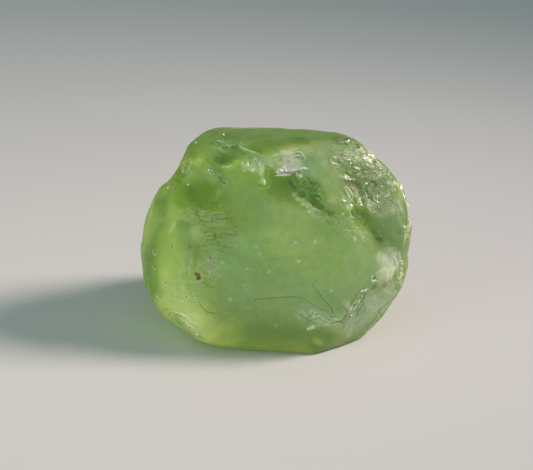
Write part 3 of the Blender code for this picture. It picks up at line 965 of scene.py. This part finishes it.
def split_where(mesh, wanted):
    """Halves the edges of the faces whose corners are all wanted."""
    cage = bmesh.new()
    cage.from_mesh(mesh)
    cage.verts.ensure_lookup_table()
    faces = [face for face in cage.faces if all(wanted[corner.index] for corner in face.verts)]
    edges = list({edge for face in faces for edge in face.edges})
    bmesh.ops.subdivide_edges(cage, edges=edges, cuts=1, use_grid_fill=True)
    cage.to_mesh(mesh)
    cage.free()


def triangles(mesh):
    """Cuts every face into triangles."""
    cage = bmesh.new()
    cage.from_mesh(mesh)
    bmesh.ops.triangulate(cage, faces=cage.faces)
    cage.to_mesh(mesh)
    cage.free()


def flash_way(facing):
    """The way a small face of about that facing must look to flash at the camera.

    It throws the lamp's light there, or the card's where it faces too far from the lamp.
    """
    eye = Vector(EYE).normalized()
    lights = (lamp_way(), Vector(CARD_PLACE))
    lamp, card = [np.array((way.normalized() + eye).normalized()) for way in lights]
    return lamp if facing @ lamp > 0.5 else card


def set_plate(skin, index, way, radius, depth, stretch=None):
    """Cuts one small flat face into the skin around a point, looking the given way."""
    near = np.array([found[1] for found in skin.tree.find_range(skin.bent[index], 3 * radius)])
    bent = skin.bent[near] - skin.bent[index]
    if stretch is not None:
        bent = bent - 0.5 * (bent @ stretch)[:, None] * stretch
    distance = np.linalg.norm(bent, axis=1)
    cosine = np.maximum(skin.facing[near] @ way, 0.4)
    height = -((skin.points[near] - skin.points[index]) @ way) / cosine - depth
    share = 1 - soft_step(distance / radius, 0.85, 1.3)
    if stretch is not None:
        height = np.minimum(skin.lift[near], height)
    skin.lift[near] += share * (np.clip(height, -radius, radius) - skin.lift[near])


def flake(skin, where, count, sizes, tilt, seed):
    """Breaks many small flat flakes off the part of the skin that a mask marks."""
    draw = np.random.default_rng(seed)
    chance = where / where.sum()
    for index in draw.choice(skin.count, size=count, p=chance):
        radius = draw.uniform(*sizes)
        way = skin.facing[index] + draw.normal(0, tilt, 3)
        way /= np.linalg.norm(way)
        stretch = np.cross(way, draw.normal(0, 1, 3))
        stretch /= np.linalg.norm(stretch)
        set_plate(skin, index, way, radius, radius * draw.uniform(0.0, 0.12), stretch)


def wrinkles(skin, along, pitch, length, seed):
    """Sharp-crested wrinkles, 0 to 1, that run along a direction."""
    along = np.array(along, float)
    along /= np.linalg.norm(along)
    place = skin.bent / pitch
    run = place @ along
    place = place - (run * (1 - pitch / length))[:, None] * along
    first = 1 - np.abs(even_noise(place, 1.0, seed)) * 2.2
    second = 1 - np.abs(even_noise(place * 2.1, 1.0, seed + 1)) * 2.2
    return np.clip(0.7 * first + 0.3 * second, 0, 1)


def far_patch(skin, number, size, rare):
    """A soft patchy mask on the sides that the picture doesn't show."""
    hidden = soft_step(-(skin.facing @ np.array(Vector(EYE).normalized())), -0.3, 0.1)
    return hidden * soft_step(even_noise(skin.bent, size, 60 + number), rare, rare + 0.35)


def far_broken(skin):
    """The fresh broken patches on those sides."""
    _, size, rare, _ = FAR_PATCHES[0]
    return far_patch(skin, 0, size, rare)


def settle(mesh, points):
    """Puts moved points back on the mesh."""
    mesh.vertices.foreach_set("co", points.ravel())
    mesh.update()


def fine_ground(skin, sight):
    """Where the skin carries fine work, and where it carries small flashing faces."""
    fine = soft_step(skin.painted(sight, CRUMBLED), 0.3, 0.6)
    bright = np.zeros(skin.count)
    for *_, spots in CUTS + EDGES + RUST:
        fine = np.maximum(fine, skin.nearness(sight.line(spots), LINE_REACH, skin.points))
    for width, *_, spots in FLASHES:
        near = skin.nearness(sight.line(spots), width, skin.points)
        fine = np.maximum(fine, near)
        if width < NARROW:
            bright = np.maximum(bright, near)
    for across, down, radius in SPECKS + PITS + GLINTS:
        place = np.array(sight.spot((across, down)))
        near = np.exp(-np.sum((skin.points - place) ** 2, axis=1) / (2 * radius) ** 2)
        fine = np.maximum(fine, near)
        if (across, down, radius) in GLINTS:
            bright = np.maximum(bright, near)
    return fine, bright


def refine(mesh, sight):
    """Calms the broken ground that finer work replaces, and makes the mesh finer where that goes."""
    skin = Skin(mesh)
    calm = skin.painted(sight, CALM)[:, None]
    settle(mesh, skin.points + calm * (skin.spread(skin.points, 100) - skin.points))
    skin = Skin(mesh)
    front = (skin.facing @ np.array(EYE) > 0) & (skin.painted(sight, PLAIN) < 0.6)
    split_where(mesh, front | (far_broken(skin) > 0.3) | (fine_ground(skin, sight)[0] > 0.1))
    split_where(mesh, fine_ground(Skin(mesh), sight)[0] > 0.35)
    split_where(mesh, fine_ground(Skin(mesh), sight)[1] > 0.5)
    triangles(mesh)
    skin = Skin(mesh)
    settle(mesh, skin.spread(skin.points, 3))


def lines_cut(skin, sight):
    """The dark cuts, and the bright edges, which are partly painted highlights."""
    cut, edge = np.zeros(skin.count), np.zeros(skin.count)
    for width, strength, spots in CUTS:
        near = skin.nearness(sight.line(spots), width, skin.points, TAPER)
        cut = np.maximum(cut, strength * near)
    for width, strength, spots in EDGES:
        edge = np.maximum(edge, 1.2 * strength * skin.scratched(sight.line(spots), width))
    return cut, edge


def combed(skin, sight, broken):
    """Where the combed ground is, and each point's way across and along its lines in millimetres."""
    bend = 0.06 * even_noise(skin.points, 0.4, 81) + 0.02 * even_noise(skin.points, 0.15, 82)
    across = skin.bent @ np.array((0.45, 0.3, 0.84)) + bend
    along = skin.bent @ np.array((0.84, 0.3, -0.45))
    mask = 0.7 * broken
    for number, (width, strength, spots) in enumerate(COMBED):
        line = sight.line(spots)
        near = strength * soft_step(skin.nearness(line, width * 1.2), 0.1, 0.7)
        here = near > mask
        side, run = skin.beside(line, here)
        across[here] = (side + bend)[here] + number
        along[here] = run[here]
        mask[here] = near[here]
    return {"across": across, "along": along, "combed": mask}


def flash(skin, index, radius, stray):
    """Turns one small face so that it throws the lamp's or the card's light to the camera."""
    way = flash_way(skin.facing[index]) + stray
    way /= np.linalg.norm(way)
    if skin.facing[index] @ way > 0.45:
        set_plate(skin, index, way, radius, -skin.lift[index])
        return np.exp(-np.sum((skin.points - skin.points[index]) ** 2, axis=1) / radius ** 2)
    return np.zeros(skin.count)


def flashes(skin, sight):
    """Sets all the small faces that flash, and returns where they are."""
    shine = np.zeros(skin.count)
    draw = np.random.default_rng(9)
    for width, count, small, large, stray, spots in FLASHES:
        near = skin.nearness(sight.line(spots), width) ** 2 * (skin.facing @ np.array(EYE) > 0)
        for index in draw.choice(skin.count, size=count, p=near / near.sum()):
            radius = draw.uniform(small, large)
            shine = np.maximum(shine, flash(skin, index, radius, draw.normal(0, stray, 3)))
    for across, down, radius in GLINTS:
        index = skin.nearest(sight.spot((across, down)))
        shine = np.maximum(shine, flash(skin, index, GLINT_SPREAD * radius, np.zeros(3)))
    return shine


def roughen(skin, grounds):
    """Flakes, wrinkles, swells and crumbs, each on its own ground."""
    crumbled = grounds["crumbled"]
    for count, sizes, tilt, share, seed in FLAKES:
        flake(skin, crumbled ** 2 + share * grounds["fresh"], count, sizes, tilt, seed)
    for name, depth, along, pitch, length, seed in WRINKLES:
        skin.lift -= depth * grounds[name] * wrinkles(skin, along, pitch, length, seed)
    for height, size, seed in SWELLS:
        skin.lift += height * even_noise(skin.points, size, seed)
    height, size, seed = CRUMBS
    skin.lift += height * crumbled * (even_noise(skin.points, size, seed) - 0.4)


def press_pits(skin, sight, cut, edge):
    """Presses the pits, each with a raised rim whose wall facing the lamp gets a painted highlight, and
    a hollow that gets a painted shade.
    """
    for across, down, radius in PITS:
        offset = (skin.points - sight.spot((across, down))) / radius
        distance = np.linalg.norm(offset, axis=1)
        rim = np.exp(-((distance - PIT_RIM[0]) / PIT_RIM[1]) ** 2)
        hollow = np.exp(-distance ** 2)
        lit = soft_step(offset @ lamp_way(), 0.4, -1.0)
        skin.lift += radius * (PIT_RIM_HEIGHT * rim - PIT_DEPTH * hollow)
        edge = np.maximum(edge, PIT_HIGHLIGHT_AND_SHADE[0] * rim * lit)
        cut = np.maximum(cut, PIT_HIGHLIGHT_AND_SHADE[1] * hollow)
    return cut, edge


def specked(skin, sight, edge):
    """The bright edges, with the pale specks added; some of the specks are painted glints."""
    for across, down, radius in SPECKS:
        middle = skin.bent[skin.nearest(sight.spot((across, down)))]
        distance = np.linalg.norm(skin.bent - middle, axis=1)
        edge = np.maximum(edge, SPECK_MARK * np.exp(-(distance / radius) ** 2))
    return edge


def work_skin(mesh):
    """Chips, cuts and wrinkles the skin, and marks its masks."""
    refine(mesh, Sight(mesh))
    sight = Sight(mesh)
    skin = Skin(mesh)
    masks = {name: skin.painted(sight, strokes) for name, strokes in PAINTED.items()}
    for number, (name, size, rare, strength) in enumerate(FAR_PATCHES):
        masks[name] = np.maximum(masks[name], strength * far_patch(skin, number, size, rare))
    broken = far_broken(skin)
    crumbled = np.maximum(skin.painted(sight, CRUMBLED), 0.5 * broken)
    roughen(skin, {**masks, "crumbled": crumbled, "all": 1.0})
    shine = flashes(skin, sight)
    cut, edge = press_pits(skin, sight, *lines_cut(skin, sight))
    skin.lift += LINE_RELIEF * (edge - cut)
    skin.lift *= soft_step(skin.points[:, 2], *FOOT_MARGIN)
    relief = skin.lift - skin.spread(skin.lift, 8)
    # Pale paint on edges, pit rims and specks: partly painted highlights and glints.
    masks["edge"] = specked(skin, sight, edge)
    masks["cut"] = cut
    # Painted highlight on the crests of the relief, and painted shade in its valleys.
    masks["crest_highlight"] = 0.8 * soft_step(relief, *SEEN_RELIEF)
    masks["valley_shade"] = soft_step(-relief, *SEEN_RELIEF)
    masks["shine"] = np.clip(1.3 * shine, 0, 1)
    masks.update(combed(skin, sight, broken))
    settle(mesh, skin.points + skin.facing * skin.lift[:, None])
    for name, mask in masks.items():
        skin.keep(name, mask)


def make_stone():
    """The stone's one piece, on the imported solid's skin."""
    mesh = finer(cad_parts["peridot_crystal"])
    work_skin(mesh)
    mesh.transform(Matrix.Scale(MM, 4))
    mesh.shade_smooth()
    mesh.materials.clear()
    mesh.materials.append(make_peridot())
    stone = bpy.data.objects.new("peridot_stone", mesh)
    bpy.context.scene.collection.objects.link(stone)
    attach(stone, "root")
    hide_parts("peridot_crystal")


def make_floor():
    """The plain surface that the stone stands on."""
    bpy.ops.mesh.primitive_plane_add(size=2.0)
    floor = bpy.context.object
    floor.name = "floor"
    floor.data.materials.append(make_matt())


def make_lamp(name, place, aim, size, watts, colour):
    """A round soft light at a place, shining to the aim."""
    data = bpy.data.lights.new(name, "AREA")
    data.shape = "DISK"
    data.size = size * MM
    data.energy = watts
    data.color = colour
    lamp = bpy.data.objects.new(name, data)
    lamp.location = place * MM
    lamp.rotation_euler = (place - Vector(aim)).to_track_quat("Z", "Y").to_euler()
    bpy.context.scene.collection.objects.link(lamp)
    return lamp


def make_light():
    """The lamp on the right, the card on the left, and the pale room."""
    place = lamp_way() * LAMP_DISTANCE
    lamp = make_lamp("Lamp", place, LAMP_AIM, LAMP_SIZE, LAMP_WATTS, LAMP_COLOUR)
    lamp.data.spread = math.radians(LAMP_SPREAD)
    place = Vector(CARD_PLACE)
    card = make_lamp("Card", place, (0, 0, 0), CARD_SIZE, CARD_WATTS, CARD_COLOUR)
    card.visible_camera = False
    room = bpy.data.worlds.new("Room")
    room.use_nodes = True
    room.node_tree.nodes["Background"].inputs["Color"].default_value = ROOM_COLOUR
    room.node_tree.nodes["Background"].inputs["Strength"].default_value = ROOM_LIGHT
    bpy.context.scene.world = room


def set_rendering():
    """How light is followed through the stone, and how the picture is shown."""
    scene = bpy.context.scene
    scene.cycles.use_denoising = True
    scene.cycles.max_bounces = 16
    scene.cycles.transmission_bounces = 12
    scene.cycles.diffuse_bounces = 4
    scene.cycles.glossy_bounces = 4
    scene.cycles.sample_clamp_indirect = 8.0
    scene.view_settings.view_transform = "Standard"


make_camera()
make_stone()
make_floor()
make_light()
set_rendering()
